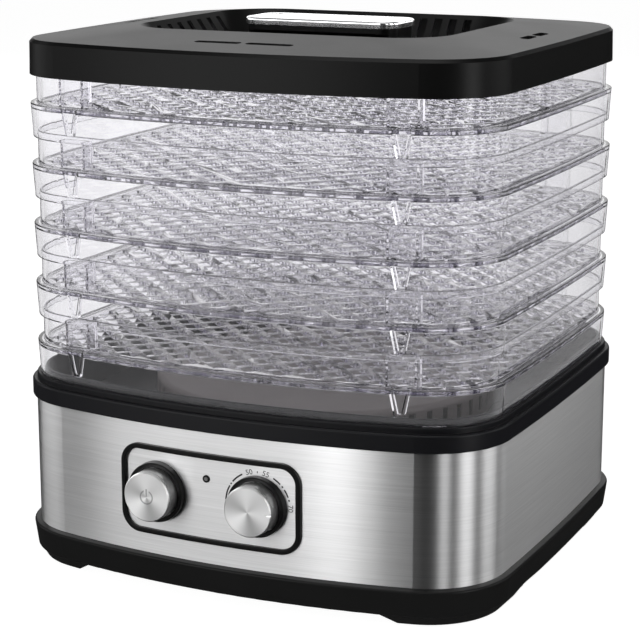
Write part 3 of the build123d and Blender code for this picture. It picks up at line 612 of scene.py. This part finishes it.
def addStage():
    deselect()
    bpy.ops.mesh.primitive_circle_add(
        vertices=stageSettings["sides"], radius=stageSettings["radius"], fill_type="NGON"
    )
    stage = bpy.context.object
    stage.name = "paleStage"
    bpy.ops.object.mode_set(mode="EDIT")
    bpy.ops.mesh.select_all(action="SELECT")
    bpy.ops.mesh.extrude_region_move(TRANSFORM_OT_translate={"value": (0, 0, stageSettings["wall"])})
    bpy.ops.mesh.delete(type="ONLY_FACE")
    bpy.ops.mesh.select_all(action="SELECT")
    bpy.ops.mesh.normals_make_consistent(inside=True)
    bpy.ops.object.mode_set(mode="OBJECT")
    paint = Finish("pale stage", Roughness=0.95, Specular_IOR_Level=0.0)
    cloud = paint.noise(paint.place(), stageSettings["paintCloud"], 2.0)
    shade = stageSettings["paint"]
    darker = grey(shade * stageSettings["paintDarker"])
    paint.give("Base Color", paint.blendColour(cloud, darker, grey(shade)))
    paint.give("Emission Color", (1, 1, 1, 1))
    paint.give("Emission Strength", stageSettings["glow"])
    stage.data.materials.append(paint.material)
    stage.visible_glossy = False


def addWorld():
    world = bpy.data.worlds.new("studio")
    bpy.context.scene.world = world
    world.use_nodes = True
    tree = world.node_tree
    path = tree.nodes.new("ShaderNodeLightPath")
    mix = tree.nodes.new("ShaderNodeMix")
    mix.data_type = "FLOAT"
    mix.inputs[2].default_value = stageSettings["mirror"]
    mix.inputs[3].default_value = stageSettings["camera"]
    tree.links.new(path.outputs["Is Camera Ray"], mix.inputs[0])
    tree.links.new(mix.outputs[0], tree.nodes["Background"].inputs["Strength"])
    tree.nodes["Background"].inputs["Color"].default_value = (1, 1, 1, 1)


# each softbox stands at a bearing, from the front towards the right, a height in degrees
# and a distance in metres; it has a width and a height, and bright is its radiance
lightTarget = Vector((0, 0, 120 * mm))
softboxes = {
    "frontFill": {"at": (-26, 13, 1.9), "size": (1.5, 1.9), "bright": 0.8},
    "rightFillStrip": {"at": (74, 13, 1.7), "size": (0.5, 1.7), "bright": 1.6},
    "rightFill": {"at": (120, 18, 2.1), "size": (1.6, 1.4), "bright": 0.6},
    "leftFill": {"at": (-80, 15, 2.0), "size": (1.5, 1.7), "bright": 0.4},
    "topBox": {"at": (0, 80, 1.8), "size": (1.3, 1.3), "bright": 0.9},
    "backBox": {"at": (203, 19, 2.6), "size": (2.6, 1.1), "bright": 0.88},
    "backTopBox": {"at": (203, 62, 2.1), "size": (1.8, 1.8), "bright": 0.45},
}
# softboxes set for the metal alone
metalBoxes = {
    "frontLeftBox": {"at": (-29, 13, 2.0), "size": (1.37, 2.0), "bright": 1.6},
    "frontStrip": {"at": (-5.5, 13, 1.85), "size": (0.25, 1.95), "bright": 5.2},
    "frontRightVeil": {"at": (44, 13, 2.0), "size": (0.44, 2.0), "bright": 2.4},
    "rightStrip": {"at": (72, 13, 1.8), "size": (0.7, 1.8), "bright": 1.7},
    "rightBox": {"at": (108, 15, 2.2), "size": (0.94, 1.68), "bright": 3.4},
    "rightBackBox": {"at": (146, 15, 2.2), "size": (1.15, 1.68), "bright": 1.95},
    "leftBox": {"at": (-80, 15, 2.1), "size": (2.0, 1.8), "bright": 1.9},
    "backMirror": {"at": (203, 19, 2.7), "size": (2.7, 1.14), "bright": 1.2},
}
metalNodes = ("steel_band", "panel_plate", "power_button_cap", "thermostat_knob", "handle_cap")


def facing(bearing, height):
    turn, tilt = math.radians(bearing), math.radians(height)
    return Vector((math.sin(turn) * math.cos(tilt), -math.cos(turn) * math.cos(tilt), math.sin(tilt)))


def addSoftboxes(boxes, lit=None):
    for name, box in boxes.items():
        bearing, height, distance = box["at"]
        width, tall = box["size"]
        light = bpy.data.lights.new(name, "AREA")
        light.shape = "RECTANGLE"
        light.size = width
        light.size_y = tall
        light.energy = box["bright"] * math.pi * width * tall
        lamp = bpy.data.objects.new(name, light)
        bpy.context.scene.collection.objects.link(lamp)
        away = facing(bearing, height)
        lamp.location = lightTarget + away * distance
        lamp.rotation_euler = away.to_track_quat("Z", "Y").to_euler()
        if lit:
            lamp.light_linking.receiver_collection = lit


def metalOnly():
    group = bpy.data.collections.new("litMetal")
    for name in metalNodes:
        group.objects.link(nodes[name])
    return group


cameraSettings = {
    "azimuth": 24.84,
    "elevation": 13.28,
    "distance": 1.1662,
    "aim": (-0.00499, -0.00231, 0.12704),
    "lens": 112.74,
    "sensor": 36.0,
    "reach": 60.0,
}


def addCamera():
    data = bpy.data.cameras.new("viewCamera")
    data.lens = cameraSettings["lens"]
    data.sensor_width = cameraSettings["sensor"]
    data.clip_end = cameraSettings["reach"]
    camera = bpy.data.objects.new("viewCamera", data)
    bpy.context.scene.collection.objects.link(camera)
    away = facing(cameraSettings["azimuth"], cameraSettings["elevation"])
    camera.location = Vector(cameraSettings["aim"]) + away * cameraSettings["distance"]
    camera.rotation_euler = away.to_track_quat("Z", "Y").to_euler()
    bpy.context.scene.camera = camera


addStage()
addWorld()
addSoftboxes(softboxes)
addSoftboxes(metalBoxes, metalOnly())
addCamera()
scene = bpy.context.scene
scene.view_settings.view_transform = "Standard"
clearDepth = 32  # light crosses many walls of clear plastic
mirrorDepth = 8
scene.cycles.max_bounces = clearDepth
scene.cycles.transmission_bounces = clearDepth
scene.cycles.transparent_max_bounces = clearDepth
scene.cycles.glossy_bounces = mirrorDepth
scene.cycles.caustics_reflective = False
scene.cycles.caustics_refractive = False
print("stage, lights and camera are in place")
